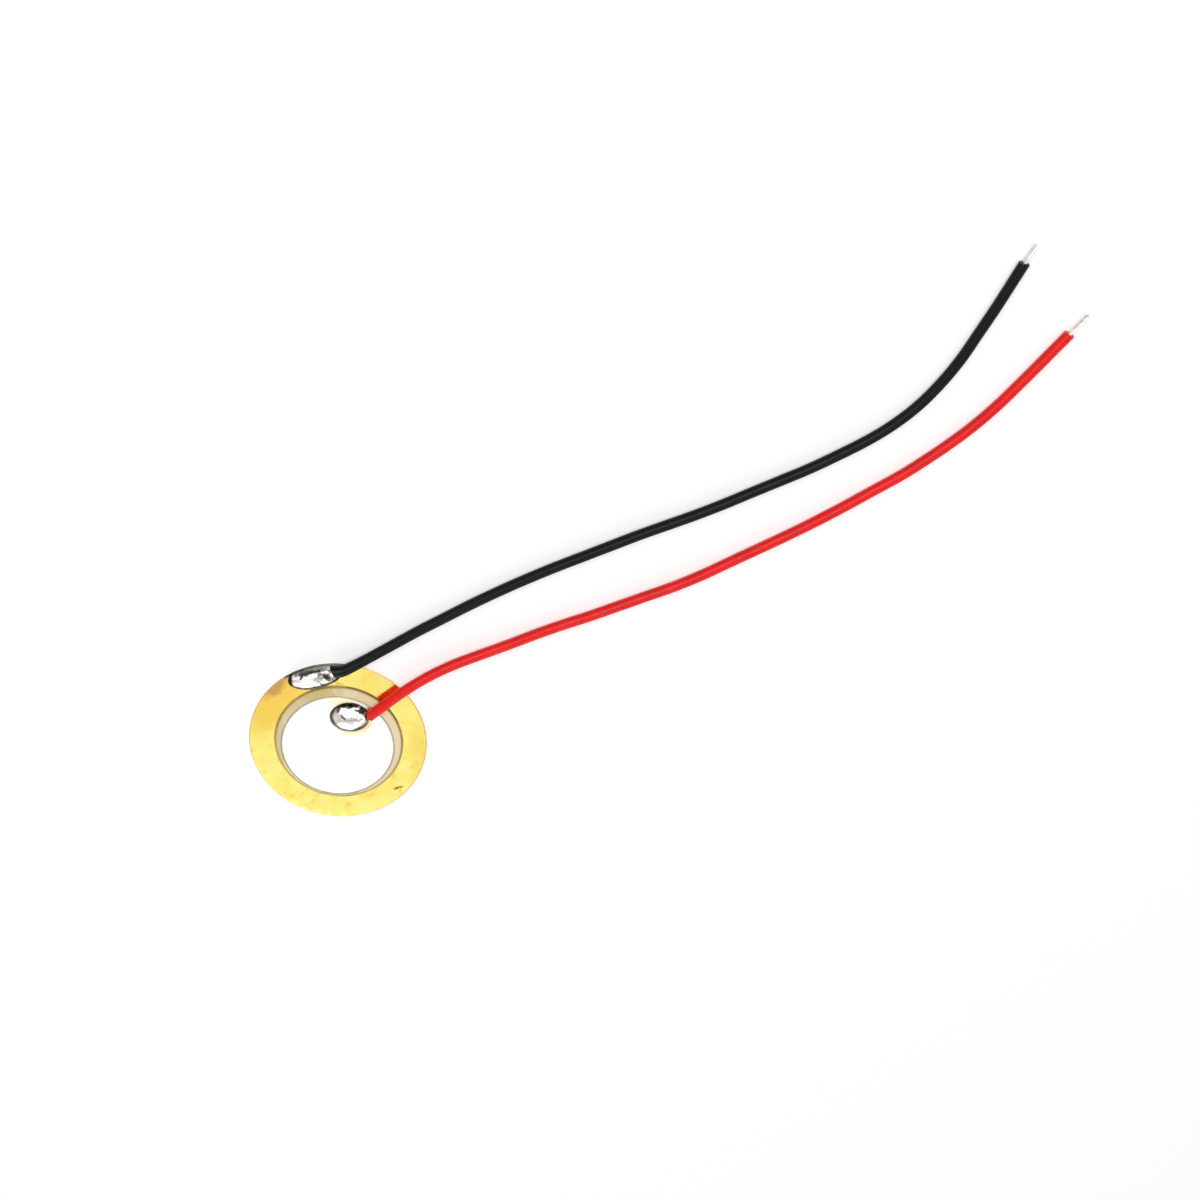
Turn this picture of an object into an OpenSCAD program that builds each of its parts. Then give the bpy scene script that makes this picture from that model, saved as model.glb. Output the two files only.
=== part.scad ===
// Piezo bender disc with two soldered leads.
// The origin is the centre of the plate's back, +Z points out of the ceramic side,
// and the disc and both leads lie on the plane z = 0.

/* [Plate] */
// Diameter of the brass plate
plate_d = 20; // [19.8:0.1:20.6]
// Thickness of the brass plate
plate_t = 0.2; // [0.15:0.01:0.25]
// Radius that the blanking punch rolls over the plate's upper edge
edge_roll = 0.06; // [0.02:0.01:0.1]

/* [Element] */
// Diameter of the ceramic element
element_d = 14.2; // [13.8:0.1:14.3]
// Thickness of the bare ceramic
element_t = 0.18; // [0.12:0.01:0.24]
// Distance that the element is bonded off the plate's centre, along X
element_off = 0.1; // [0:0.05:0.15]
// Thickness of the adhesive film under the element
bond_t = 0.02; // [0.01:0.005:0.04]
// Width of the adhesive bead squeezed out round the element
bead_w = 0.14; // [0.06:0.01:0.16]

/* [Electrodes] */
// Thickness of each fired silver film
film_t = 0.01; // [0.005:0.005:0.02]
// Diameter of the front electrode
electrode_d = 12.6; // [12.2:0.1:12.8]
// Distance that the front electrode is printed off the element's centre, along X
print_off_x = -0.1; // [-0.15:0.05:0.15]
// Distance that the front electrode is printed off the element's centre, along Y
print_off_y = -0.45; // [-0.6:0.05:0.2]

/* [Solder joints] */
// Length of the solder joint on the plate
plate_joint_l = 6.6; // [5.8:0.1:6.8]
// Width that the solder joint on the plate would have if it ran on past the rim
plate_joint_w = 3.2; // [2.8:0.1:3.4]
// Height of the solder joint on the plate
plate_joint_h = 1.2; // [1:0.05:1.4]
// Length of the solder joint on the front electrode
electrode_joint_l = 4.5; // [4:0.1:4.8]
// Width of the solder joint on the front electrode
electrode_joint_w = 3.8; // [3.6:0.1:4.2]
// Height of the solder joint on the front electrode
electrode_joint_h = 1.1; // [0.95:0.05:1.3]

/* [Leads] */
// Outer diameter of each lead's insulation
lead_d = 1.2; // [1.1:0.05:1.3]
// Share by which soldering swells the end of the black insulation
collar_swell = 0.25; // [0:0.05:0.3]
// Diameter of one copper strand of the seven in each conductor
strand_d = 0.16; // [0.12:0.01:0.18]
// Length of conductor in which the strands make one turn
lay_length = 5; // [4:0.5:8]
// Bare length at the black lead's free end
black_tip_l = 2.2; // [1.5:0.1:4]
// Bare length at the red lead's free end
red_tip_l = 2.7; // [1.5:0.1:4]

/* [Hidden] */

brass = "#e3bf4d";
adhesive = "#b98a3c";
piezo_ceramic = "#d9c9a3";
silver = "#e6e6e2";
solder = "#b9bcbf";
black_pvc = "#1b1b1f";
red_pvc = "#d92626";
tinned_copper = "#c9c7c0";

// Heights of the stack, from the plate's back upwards.
bond_z = plate_t;
rear_film_z = bond_z + bond_t;
ceramic_z = rear_film_z + film_t;
front_film_z = ceramic_z + element_t;
stack_t = front_film_z + film_t;

plate_r = plate_d / 2;
element_r = element_d / 2;
lead_r = lead_d / 2;
// The bead climbs this far up the element's wall.
bead_h = bond_t + film_t + element_t / 2;

// The plate joint lies across the brass ring at a slight angle. Its solder has run out to the
// rim and stopped just inside the rolled edge.
rim_margin = 0.06;
solder_rim = plate_r - edge_roll - rim_margin;
plate_joint_inset = 0.93;
plate_joint_bearing = 104.5;
plate_joint_turn = 19;
plate_joint_at = (solder_rim - plate_joint_inset)
    * [cos(plate_joint_bearing), sin(plate_joint_bearing)];
plate_joint_foot = -22;
electrode_joint_at = [1.4, 3.3];
electrode_joint_turn = 2;
electrode_joint_foot = 12;

// Each lead's route from its joint to its free end. The first two numbers of a point are its
// place on the plane. The third is the height of the lead's underside, as a share of the
// height of its seat.
black_seat = plate_t + 0.05;
black_route = [
    [-0.6, 9.4, 1], [0.6, 9.5, 1.1], [1.8, 10.1, 1.2], [3.6, 11.2, 1.1], [6, 12.7, 0.7],
    [9, 14.6, 0.3], [12, 16.4, 0.1], [15, 18.2, 0], [18, 19.9, 0], [21, 21.5, 0],
    [24, 23, 0], [27, 24.4, 0], [30, 25.8, 0], [33, 27.2, 0], [36, 28.5, 0],
    [39, 29.8, 0], [42, 31.2, 0], [45, 32.7, 0], [48, 34.2, 0], [51, 35.7, 0],
    [54, 37.4, 0], [57.05, 39.25, 0], [59.65, 41.15, 0], [62.1, 43.4, 0], [64.3, 46.05, 0],
    [66.25, 48.95, 0], [67.9, 52, 0], [69.5, 55, 0], [71, 58, 0], [72, 60, 0]
];
red_seat = stack_t + 0.03;
red_route = [
    [3.6, 3.8, 1], [5.5, 5.5, 1.15], [7.6, 7.3, 1.2], [10.2, 9.1, 0.9], [13, 10.6, 0.5],
    [16, 11.9, 0.15], [19, 13.2, 0], [22, 14.6, 0], [25, 15.9, 0], [28, 17.1, 0],
    [31, 18.4, 0], [34, 19.7, 0], [37, 21, 0], [40, 22.5, 0], [43, 24.2, 0],
    [46, 25.9, 0], [49, 27.6, 0], [52, 29.4, 0], [55, 31.3, 0], [58, 33.3, 0],
    [61, 35.3, 0], [63.55, 37.25, 0], [65.85, 39.15, 0], [68.15, 41.25, 0], [70.35, 43.55, 0],
    [72.5, 46.1, 0], [75, 49.2, 0], [77.4, 52.2, 0]
];
lead_sides = 8;
strand_count = 6;
flute_steps = 24;
conductor_step = 0.35;
// The collar fades out over this many points of the route.
collar_points = 3;

// ---- vectors and routes ----

function unit(v) = v / norm(v);

// Direction of travel at a point of a route.
function heading(path, i) =
    unit(path[min(i + 1, len(path) - 1)] - path[max(i - 1, 0)]);

// A route's points in space, for a lead whose radius at each point is given.
function lead_path(route, seat, radii) =
    [for (i = [0:len(route) - 1]) [route[i][0], route[i][1], radii[i] + route[i][2] * seat]];

// A point of a quadratic curve that leaves `start` along `middle - start`.
function bend_point(start, middle, finish, u) =
    (1 - u) * (1 - u) * start + 2 * u * (1 - u) * middle + u * u * finish;

// The outline of one ring: its radii, at equal angles from the horizontal.
function ring(centre, along, radii, turn = 0) =
    let (side = unit(cross([0, 0, 1], along)), rise = cross(along, side), n = len(radii))
    [for (k = [0:n - 1])
        let (a = 360 * k / n + turn)
        centre + radii[k] * (cos(a) * side + sin(a) * rise)];

// Triangles between neighbouring rings of n points each, for rings 0 to last.
function walls(n, last) =
    [for (i = [0:last - 1], k = [0:n - 1])
        let (a = i * n + k, b = i * n + (k + 1) % n)
        each [[a, a + n, b + n], [a, b + n, b]]];

// Joins equal rings of points into a closed tube.
module skin(rings) {
    n = len(rings[0]);
    last = len(rings) - 1;
    first_cap = [for (k = [0:n - 1]) k];
    last_cap = [for (k = [n - 1:-1:0]) last * n + k];
    polyhedron(points = [for (r = rings) each r],
               faces = concat([first_cap], walls(n, last), [last_cap]));
}

// ---- leads ----

black_radii = [for (i = [0:len(black_route) - 1])
    lead_r * (1 + collar_swell * max(0, 1 - i / collar_points))];
red_radii = [for (p = red_route) lead_r];
black_path = lead_path(black_route, black_seat, black_radii);
red_path = lead_path(red_route, red_seat, red_radii);

module insulation(path, radii) {
    skin([for (i = [0:len(path) - 1])
        ring(path[i], heading(path, i), [for (k = [1:lead_sides]) radii[i]])]);
}

// ---- stranded conductor ----

// Distance from the conductor's centre to its surface: six strands round a seventh, with
// tinning that fills the valleys between them a little.
tinning = 1.04;
function flute(a) =
    let (b = a - 60 * round(a / 60))
    strand_d * max(tinning, cos(b) + sqrt(max(0, 1 / 4 - pow(sin(b), 2))));

flutes = [for (k = [0:flute_steps - 1]) flute(360 * k / flute_steps)];

// Seven tinned strands, twisted along a path.
module conductor(path) {
    steps = [for (i = [1:len(path) - 1]) norm(path[i] - path[i - 1])];
    run = [for (i = 0, s = 0; i < len(path); s = s + (i < len(steps) ? steps[i] : 0), i = i + 1) s];
    skin([for (i = [0:len(path) - 1])
        ring(path[i], heading(path, i), flutes, 360 * run[i] / lay_length)]);
}

// The bare end that leaves a lead's last point straight on.
function tip_path(path, length) =
    let (finish = path[len(path) - 1], along = heading(path, len(path) - 1))
    let (steps = ceil(length / conductor_step))
    [for (i = [0:steps]) finish + along * length * i / steps];

// The bare end that leaves a lead's first point straight back and bends down into its joint.
function tail_path(path, target) =
    let (start = path[0], back = -heading(path, 0), curve = start + back * conductor_step)
    let (reach = norm(target - curve), middle = curve + back * reach * tail_straight)
    let (steps = ceil(reach / conductor_step))
    concat([start], [for (i = [0:steps]) bend_point(curve, middle, target, i / steps)]);

// Share of a tail's reach over which it still heads straight back.
tail_straight = 0.35;
black_tail_end = [plate_joint_at[0] - 1.6, plate_joint_at[1] - 0.3, plate_t + 0.55];
red_tail_end = [electrode_joint_at[0] - 0.7, electrode_joint_at[1] - 0.1, stack_t + 0.45];

// ---- solder joints ----

joint_steps = 40;
joint_rings = 11;
// Solder doesn't wet the insulation: this gap is left in front of the insulation's end.
end_gap = 0.02;

// The outline of a joint's foot, as points round `at`: an oval, held inside the rim.
function footprint(at, length, width, turn) =
    [for (k = [0:joint_steps - 1])
        let (a = 360 * k / joint_steps,
             x = length / 2 * cos(a),
             y = width / 2 * sin(a),
             place = at + [x * cos(turn) - y * sin(turn), x * sin(turn) + y * cos(turn)])
        place * min(1, solder_rim / norm(place)) - at];

// A blob of solder on its footprint, at z = 0. `foot` is where its wall starts, as an angle
// on the dome's section: above 0 the solder has wetted outwards, and below 0 the wall bulges
// over its foot. Towards `lead_bearing` the blob stands fuller, where solder has climbed the
// conductor, and `climb` says by how much.
module solder_blob(outline, height, foot, lead_bearing, climb) {
    rise = height / (1 - sin(foot));
    widest = foot > 0 ? cos(foot) : 1;
    n = joint_steps;
    last = joint_rings - 1;
    rings = [for (i = [0:last])
        let (t = foot + (90 - foot) * i / joint_rings, share = cos(t) / widest)
        [for (k = [0:n - 1])
            let (towards = max(0, cos(360 * k / n - lead_bearing)),
                 reach = pow(share, 1 - climb * pow(towards, 4)))
            [reach * outline[k][0], reach * outline[k][1], rise * (sin(t) - sin(foot))]]];
    points = concat([for (r = rings) each r], [[0, 0, height]]);
    crown = [for (k = [0:n - 1]) [last * n + k, len(points) - 1, last * n + (k + 1) % n]];
    foot_face = [for (k = [0:n - 1]) k];
    polyhedron(points = points, faces = concat([foot_face], walls(n, last), crown));
}

// The room that a lead and its tail take up in their joint.
module lead_room(path, radii, tail_end) {
    insulation(concat([path[0] - heading(path, 0) * end_gap], path), concat([radii[0]], radii));
    conductor(tail_path(path, tail_end));
}

// ---- sub-parts ----

module brass_plate() {
    color(brass)
    rotate_extrude($fn = 96)
    polygon(concat(
        [[0, 0], [plate_r, 0]],
        [for (a = [0:15:90])
            [plate_r - edge_roll * (1 - cos(a)), plate_t - edge_roll * (1 - sin(a))]],
        [[0, plate_t]]));
}

// A film under the whole element, with a hollow bead where it was squeezed out.
module bond_layer() {
    color(adhesive)
    translate([element_off, 0, bond_z])
    rotate_extrude($fn = 96)
    polygon(concat(
        [[0, 0]],
        [for (a = [0:15:90])
            [element_r + bead_w * (1 - sin(a)), bead_h * (1 - cos(a))]],
        [[element_r, bond_t], [0, bond_t]]));
}

module rear_electrode() {
    color(silver)
    translate([element_off, 0, rear_film_z])
    cylinder(h = film_t, r = element_r, $fn = 96);
}

module ceramic_element() {
    color(piezo_ceramic)
    translate([element_off, 0, ceramic_z])
    cylinder(h = element_t, r = element_r, $fn = 96);
}

module front_electrode() {
    color(silver)
    translate([element_off + print_off_x, print_off_y, front_film_z])
    cylinder(h = film_t, d = electrode_d, $fn = 96);
}

module plate_solder_joint() {
    color(solder)
    difference() {
        translate([plate_joint_at[0], plate_joint_at[1], plate_t])
        solder_blob(footprint(plate_joint_at, plate_joint_l, plate_joint_w, plate_joint_turn),
                    plate_joint_h, plate_joint_foot, 5, 0.25);
        lead_room(black_path, black_radii, black_tail_end);
    }
}

module electrode_solder_joint() {
    color(solder)
    difference() {
        translate([electrode_joint_at[0], electrode_joint_at[1], stack_t])
        solder_blob(footprint(electrode_joint_at, electrode_joint_l, electrode_joint_w,
                              electrode_joint_turn),
                    electrode_joint_h, electrode_joint_foot, 10, 0.45);
        lead_room(red_path, red_radii, red_tail_end);
    }
}

module black_lead() {
    color(black_pvc) insulation(black_path, black_radii);
}

module red_lead() {
    color(red_pvc) insulation(red_path, red_radii);
}

module black_lead_tail() {
    color(tinned_copper) conductor(tail_path(black_path, black_tail_end));
}

module red_lead_tail() {
    color(tinned_copper) conductor(tail_path(red_path, red_tail_end));
}

module black_lead_tip() {
    color(tinned_copper) conductor(tip_path(black_path, black_tip_l));
}

module red_lead_tip() {
    color(tinned_copper) conductor(tip_path(red_path, red_tip_l));
}

brass_plate();
bond_layer();
rear_electrode();
ceramic_element();
front_electrode();
plate_solder_joint();
electrode_solder_joint();
black_lead();
red_lead();
black_lead_tail();
red_lead_tail();
black_lead_tip();
red_lead_tip();
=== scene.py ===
import logging
import math
from dataclasses import dataclass
from enum import Enum
from typing import Callable, Iterable

import bmesh
import bpy
from bmesh.types import BMesh, BMVert
from bpy.types import Material, Node, NodeSocket, NodeTree, Object
from mathutils import Matrix, Vector, noise


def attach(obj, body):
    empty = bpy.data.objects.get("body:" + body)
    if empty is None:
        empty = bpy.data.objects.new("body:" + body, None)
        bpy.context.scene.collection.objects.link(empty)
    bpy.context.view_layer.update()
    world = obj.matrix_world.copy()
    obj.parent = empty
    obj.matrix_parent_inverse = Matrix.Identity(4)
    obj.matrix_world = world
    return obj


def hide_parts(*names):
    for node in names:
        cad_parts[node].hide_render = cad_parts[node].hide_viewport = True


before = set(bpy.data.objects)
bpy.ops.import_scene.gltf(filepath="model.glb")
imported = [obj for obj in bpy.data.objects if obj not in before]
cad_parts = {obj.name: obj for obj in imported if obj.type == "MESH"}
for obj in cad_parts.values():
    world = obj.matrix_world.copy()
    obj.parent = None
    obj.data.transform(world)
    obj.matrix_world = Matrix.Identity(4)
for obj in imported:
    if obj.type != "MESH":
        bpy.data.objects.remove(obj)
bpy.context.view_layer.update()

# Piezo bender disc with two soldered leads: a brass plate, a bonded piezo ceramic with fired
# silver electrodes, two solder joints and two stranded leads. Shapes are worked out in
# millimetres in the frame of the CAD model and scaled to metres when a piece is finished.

MM = 0.001
LOG = logging.getLogger("piezo_disc")

Colour = tuple[float, float, float, float]
Pair = tuple[float, float]
Point = tuple[float, float, float]

UP = Vector((0, 0, 1))
WHITE = (1.0, 1.0, 1.0, 1.0)


def colour(red: int, green: int, blue: int) -> Colour:
    """Turns a colour as it is seen into a linear one.

    Args:
        red: the red channel, 0 to 255.
        green: the green channel.
        blue: the blue channel.

    Returns:
        The linear colour, with full alpha.
    """
    def linear(value: int) -> float:
        """Linear share of one channel."""
        share = value / 255
        return share / 12.92 if share <= 0.04045 else ((share + 0.055) / 1.055) ** 2.4
    return (linear(red), linear(green), linear(blue), 1.0)


def put(name: str, data: bpy.types.ID) -> Object:
    """Puts a new object in the scene.

    Args:
        name: the object's name.
        data: its mesh, light or camera.

    Returns:
        The object.
    """
    made = bpy.data.objects.new(name, data)
    bpy.context.scene.collection.objects.link(made)
    return made


def to_mesh(name: str, shape: BMesh) -> bpy.types.Mesh:
    """Turns a shape in millimetres into a mesh in metres.

    Args:
        name: the mesh's name.
        shape: the shape, which is used up.

    Returns:
        The mesh.
    """
    bmesh.ops.scale(shape, vec=(MM, MM, MM), verts=shape.verts)
    mesh = bpy.data.meshes.new(name)
    shape.to_mesh(mesh)
    shape.free()
    return mesh


class Slot(Enum):
    """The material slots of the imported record."""

    BRASS = "brass"
    ADHESIVE = "adhesive"
    SILVER_FILM = "silver_film"
    CERAMIC = "piezo_ceramic"
    SOLDER = "solder"
    BLACK_PVC = "black_pvc"
    RED_PVC = "red_pvc"
    TINNED_COPPER = "tinned_copper"


# --- Node graphs ---


class Graph:
    """Adds the nodes of one node tree and joins them."""

    def __init__(self, tree: NodeTree) -> None:
        """Keeps the tree that the nodes go into."""
        self.tree = tree

    def add(self, kind: str, **settings: object) -> Node:
        """Adds a node.

        Args:
            kind: the node's type.
            settings: its properties.

        Returns:
            The new node.
        """
        made = self.tree.nodes.new(kind)
        for key, value in settings.items():
            setattr(made, key, value)
        return made

    def find(self, kind: str) -> Node:
        """Gives the tree's node of one type."""
        return next(n for n in self.tree.nodes if n.type == kind)

    def wire(self, source: object, target: NodeSocket) -> None:
        """Joins a socket to an input, or sets the input to a plain value.

        Args:
            source: the socket or the value.
            target: the input.
        """
        if isinstance(source, NodeSocket):
            self.tree.links.new(source, target)
        else:
            target.default_value = source

    def fill(self, made: Node, values: dict[str | int, object]) -> None:
        """Wires the inputs of a node, by name or number."""
        for key, value in values.items():
            self.wire(value, made.inputs[key])

    def maths(self, operation: str, *values: object) -> NodeSocket:
        """Adds one Math node.

        Args:
            operation: what it works out.
            values: its inputs, sockets or numbers.

        Returns:
            Its result.
        """
        made = self.add("ShaderNodeMath", operation=operation)
        self.fill(made, dict(enumerate(values)))
        return made.outputs[0]

    def vector(self, operation: str, *values: object) -> NodeSocket:
        """Adds one Vector Math node.

        Args:
            operation: what it works out.
            values: its inputs, sockets or vectors.

        Returns:
            Its result, a number for a length or a dot product and a vector otherwise.
        """
        made = self.add("ShaderNodeVectorMath", operation=operation)
        self.fill(made, dict(enumerate(values)))
        single = operation in ("LENGTH", "DOT_PRODUCT")
        return made.outputs["Value" if single else "Vector"]

    def sum_of(self, *values: object) -> NodeSocket:
        """Adds up values.

        Args:
            values: the sockets or numbers.

        Returns:
            The sum, held between 0 and 1.
        """
        total = values[0]
        for value in values[1:]:
            total = self.maths("ADD", total, value)
        total.node.use_clamp = True
        return total

    def blend_value(self, share: object, low: object, high: object) -> NodeSocket:
        """Mixes two numbers.

        Args:
            share: how much of the second goes in, 0 to 1.
            low: the first number.
            high: the second number.

        Returns:
            The mixed number.
        """
        made = self.add("ShaderNodeMix", data_type="FLOAT")
        self.fill(made, {0: share, 2: low, 3: high})
        return made.outputs[0]

    def blend(self, share: object, low: object, high: object) -> NodeSocket:
        """Mixes two colours.

        Args:
            share: how much of the second goes in, 0 to 1.
            low: the first colour.
            high: the second colour.

        Returns:
            The mixed colour.
        """
        made = self.add("ShaderNodeMix", data_type="RGBA")
        self.fill(made, {0: share, 6: low, 7: high})
        return made.outputs[2]

    def ramp(self, value: object, start: tuple[object, object],
             finish: tuple[object, object]) -> NodeSocket:
        """Maps a value to a level, smoothly between two stops.

        Args:
            value: the value.
            start: the first stop, a value and its level.
            finish: the last stop.

        Returns:
            The level, which no longer changes past the stops.
        """
        made = self.add("ShaderNodeMapRange", interpolation_type="SMOOTHSTEP")
        self.fill(made, {"Value": value, "From Min": start[0], "From Max": finish[0],
                         "To Min": start[1], "To Max": finish[1]})
        return made.outputs["Result"]

    def noise(self, place: object, fineness: object, detail: float = 2.0) -> NodeSocket:
        """Adds a noise texture.

        Args:
            place: where it is read.
            fineness: its features per metre.
            detail: how much finer noise is added to it.

        Returns:
            Its level.
        """
        made = self.add("ShaderNodeTexNoise")
        self.fill(made, {"Vector": place, "Scale": fineness, "Detail": detail})
        return made.outputs["Fac"]

    def ripple(self, place: object, fineness: object, raggedness: object) -> NodeSocket:
        """Adds noise about zero, which makes an edge ragged.

        Args:
            place: where it is read.
            fineness: its features per metre.
            raggedness: how far it strays from zero.

        Returns:
            The noise.
        """
        centred = self.maths("SUBTRACT", self.noise(place, fineness), 0.5)
        return self.maths("MULTIPLY", self.maths("MULTIPLY", centred, raggedness),
                          RIPPLE_GAIN)

    def use(self, mask: "Mask", **values: object) -> NodeSocket:
        """Places a shared mask and gives its output.

        Args:
            mask: the mask.
            values: its inputs, by name with _ for a space.

        Returns:
            The output socket of its node group.
        """
        made = self.add("ShaderNodeGroup", node_tree=mask.group())
        self.fill(made, {key.replace("_", " "): value for key, value in values.items()})
        return made.outputs[0]


Ends = dict[str, NodeSocket]

RIPPLE_GAIN = 4.0
GRAIN_DETAIL = 3.0
RING_FINENESS = 1400.0
RING_FADE = (0.4, 1.4)


def grain(graph: Graph, ends: Ends) -> NodeSocket:
    """Draws noise with its contrast raised, as on rolled or fired skins."""
    level = graph.noise(ends["Place"], ends["Fineness"], GRAIN_DETAIL)
    return graph.ramp(level, (ends["Low"], 0.0), (ends["High"], 1.0))


def blotch(graph: Graph, ends: Ends) -> NodeSocket:
    """Draws a ragged oval patch, such as a stain.

    Args:
        graph: the graph of the mask's node group.
        ends: the group's inputs, by name.

    Returns:
        The mask, 1 inside the patch and 0 outside.
    """
    facing = graph.add("ShaderNodeVectorRotate", rotation_type="Z_AXIS", invert=True)
    graph.fill(facing, {"Vector": graph.vector("SUBTRACT", ends["Place"], ends["Centre"]),
                        "Angle": ends["Turn"]})
    far = graph.vector("LENGTH", graph.vector("DIVIDE", facing.outputs[0],
                                              ends["Half Size"]))
    ripple = graph.ripple(ends["Place"], ends["Fineness"], ends["Raggedness"])
    return graph.ramp(graph.maths("ADD", far, ripple),
                      (graph.maths("SUBTRACT", 1.0, ends["Softness"]), 1.0),
                      (graph.maths("ADD", 1.0, ends["Softness"]), 0.0))


def ring_line(graph: Graph, ends: Ends) -> NodeSocket:
    """Draws a thin ragged line round a centre, such as the dark line at a film's edge.

    Args:
        graph: the graph of the mask's node group.
        ends: the group's inputs, by name.

    Returns:
        The mask, 1 on the line and 0 off it.
    """
    offset = graph.vector("SUBTRACT", ends["Place"], ends["Centre"])
    far = graph.vector("LENGTH", graph.vector("MULTIPLY", offset, (1, 1, 0)))
    gap = graph.maths("ABSOLUTE", graph.maths("SUBTRACT", far, ends["Radius"]))
    ripple = graph.ripple(ends["Place"], RING_FINENESS, ends["Raggedness"])
    share = graph.maths("ADD", graph.maths("DIVIDE", gap, ends["Width"]), ripple)
    start, finish = RING_FADE
    return graph.ramp(share, (start, 1.0), (finish, 0.0))


class Mask(Enum):
    """The masks that finishes share: each one's drawing, vector inputs and numbers."""

    GRAIN = (grain, ("Place",), ("Fineness", "Low", "High"))
    BLOTCH = (blotch, ("Place", "Centre", "Half Size"),
              ("Turn", "Softness", "Raggedness", "Fineness"))
    RING_LINE = (ring_line, ("Place", "Centre"), ("Radius", "Width", "Raggedness"))

    def group(self) -> NodeTree:
        """Makes the mask's node group, or finds it if it is already made.

        Returns:
            The node group.
        """
        draw, vectors, numbers = self.value
        tree = bpy.data.node_groups.get(draw.__name__)
        if tree:
            return tree
        tree = bpy.data.node_groups.new(draw.__name__, "ShaderNodeTree")
        for titles, kind in ((vectors, "NodeSocketVector"), (numbers, "NodeSocketFloat")):
            for title in titles:
                tree.interface.new_socket(title, in_out="INPUT", socket_type=kind)
        tree.interface.new_socket("Mask", in_out="OUTPUT", socket_type="NodeSocketFloat")
        graph = Graph(tree)
        ends = {s.name: s for s in graph.add("NodeGroupInput").outputs}
        graph.wire(draw(graph, ends), graph.add("NodeGroupOutput").inputs[0])
        return tree


# --- Camera, floor and light ---


@dataclass(frozen=True)
class Viewpoint:
    """Where the camera stands, as an orbit round the point it aims at.

    Places are in millimetres and angles in degrees.
    """

    aim: Point = (29.066, 18.822, 0.0)
    azimuth: float = 90.0
    elevation: float = 61.605
    roll: float = 181.483
    distance: float = 339.90
    lens: float = 93.0
    sensor: float = 36.0

    def place(self) -> Matrix:
        """Works out the camera's matrix.

        Returns:
            The matrix in metres, whose columns are right, up, back and place.
        """
        azimuth, elevation, roll = (math.radians(v) for v in
                                    (self.azimuth, self.elevation, self.roll))
        back = Vector((math.cos(azimuth) * math.cos(elevation),
                       math.sin(azimuth) * math.cos(elevation), math.sin(elevation)))
        upright = (UP - back * back.z).normalized()
        across = (-back).cross(upright)
        right = across * math.cos(roll) + upright * math.sin(roll)
        up = upright * math.cos(roll) - across * math.sin(roll)
        at = (Vector(self.aim) + back * self.distance) * MM
        return Matrix(((right.x, up.x, back.x, at.x), (right.y, up.y, back.y, at.y),
                       (right.z, up.z, back.z, at.z), (0, 0, 0, 1)))


@dataclass(frozen=True)
class SoftBox:
    """One area light, aimed at a point on the part. Sizes are in millimetres."""

    name: str
    at: Point
    size: float
    watts: float
    aim: Point = (30.0, 20.0, 0.0)

    def hang(self) -> None:
        """Adds the light to the scene."""
        light = bpy.data.lights.new(self.name, "AREA")
        light.shape = "SQUARE"
        light.size = self.size * MM
        light.energy = self.watts
        lamp = put(self.name, light)
        lamp.location = Vector(self.at) * MM
        towards = Vector(self.aim) - Vector(self.at)
        lamp.rotation_euler = towards.to_track_quat("-Z", "Y").to_euler()


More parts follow.
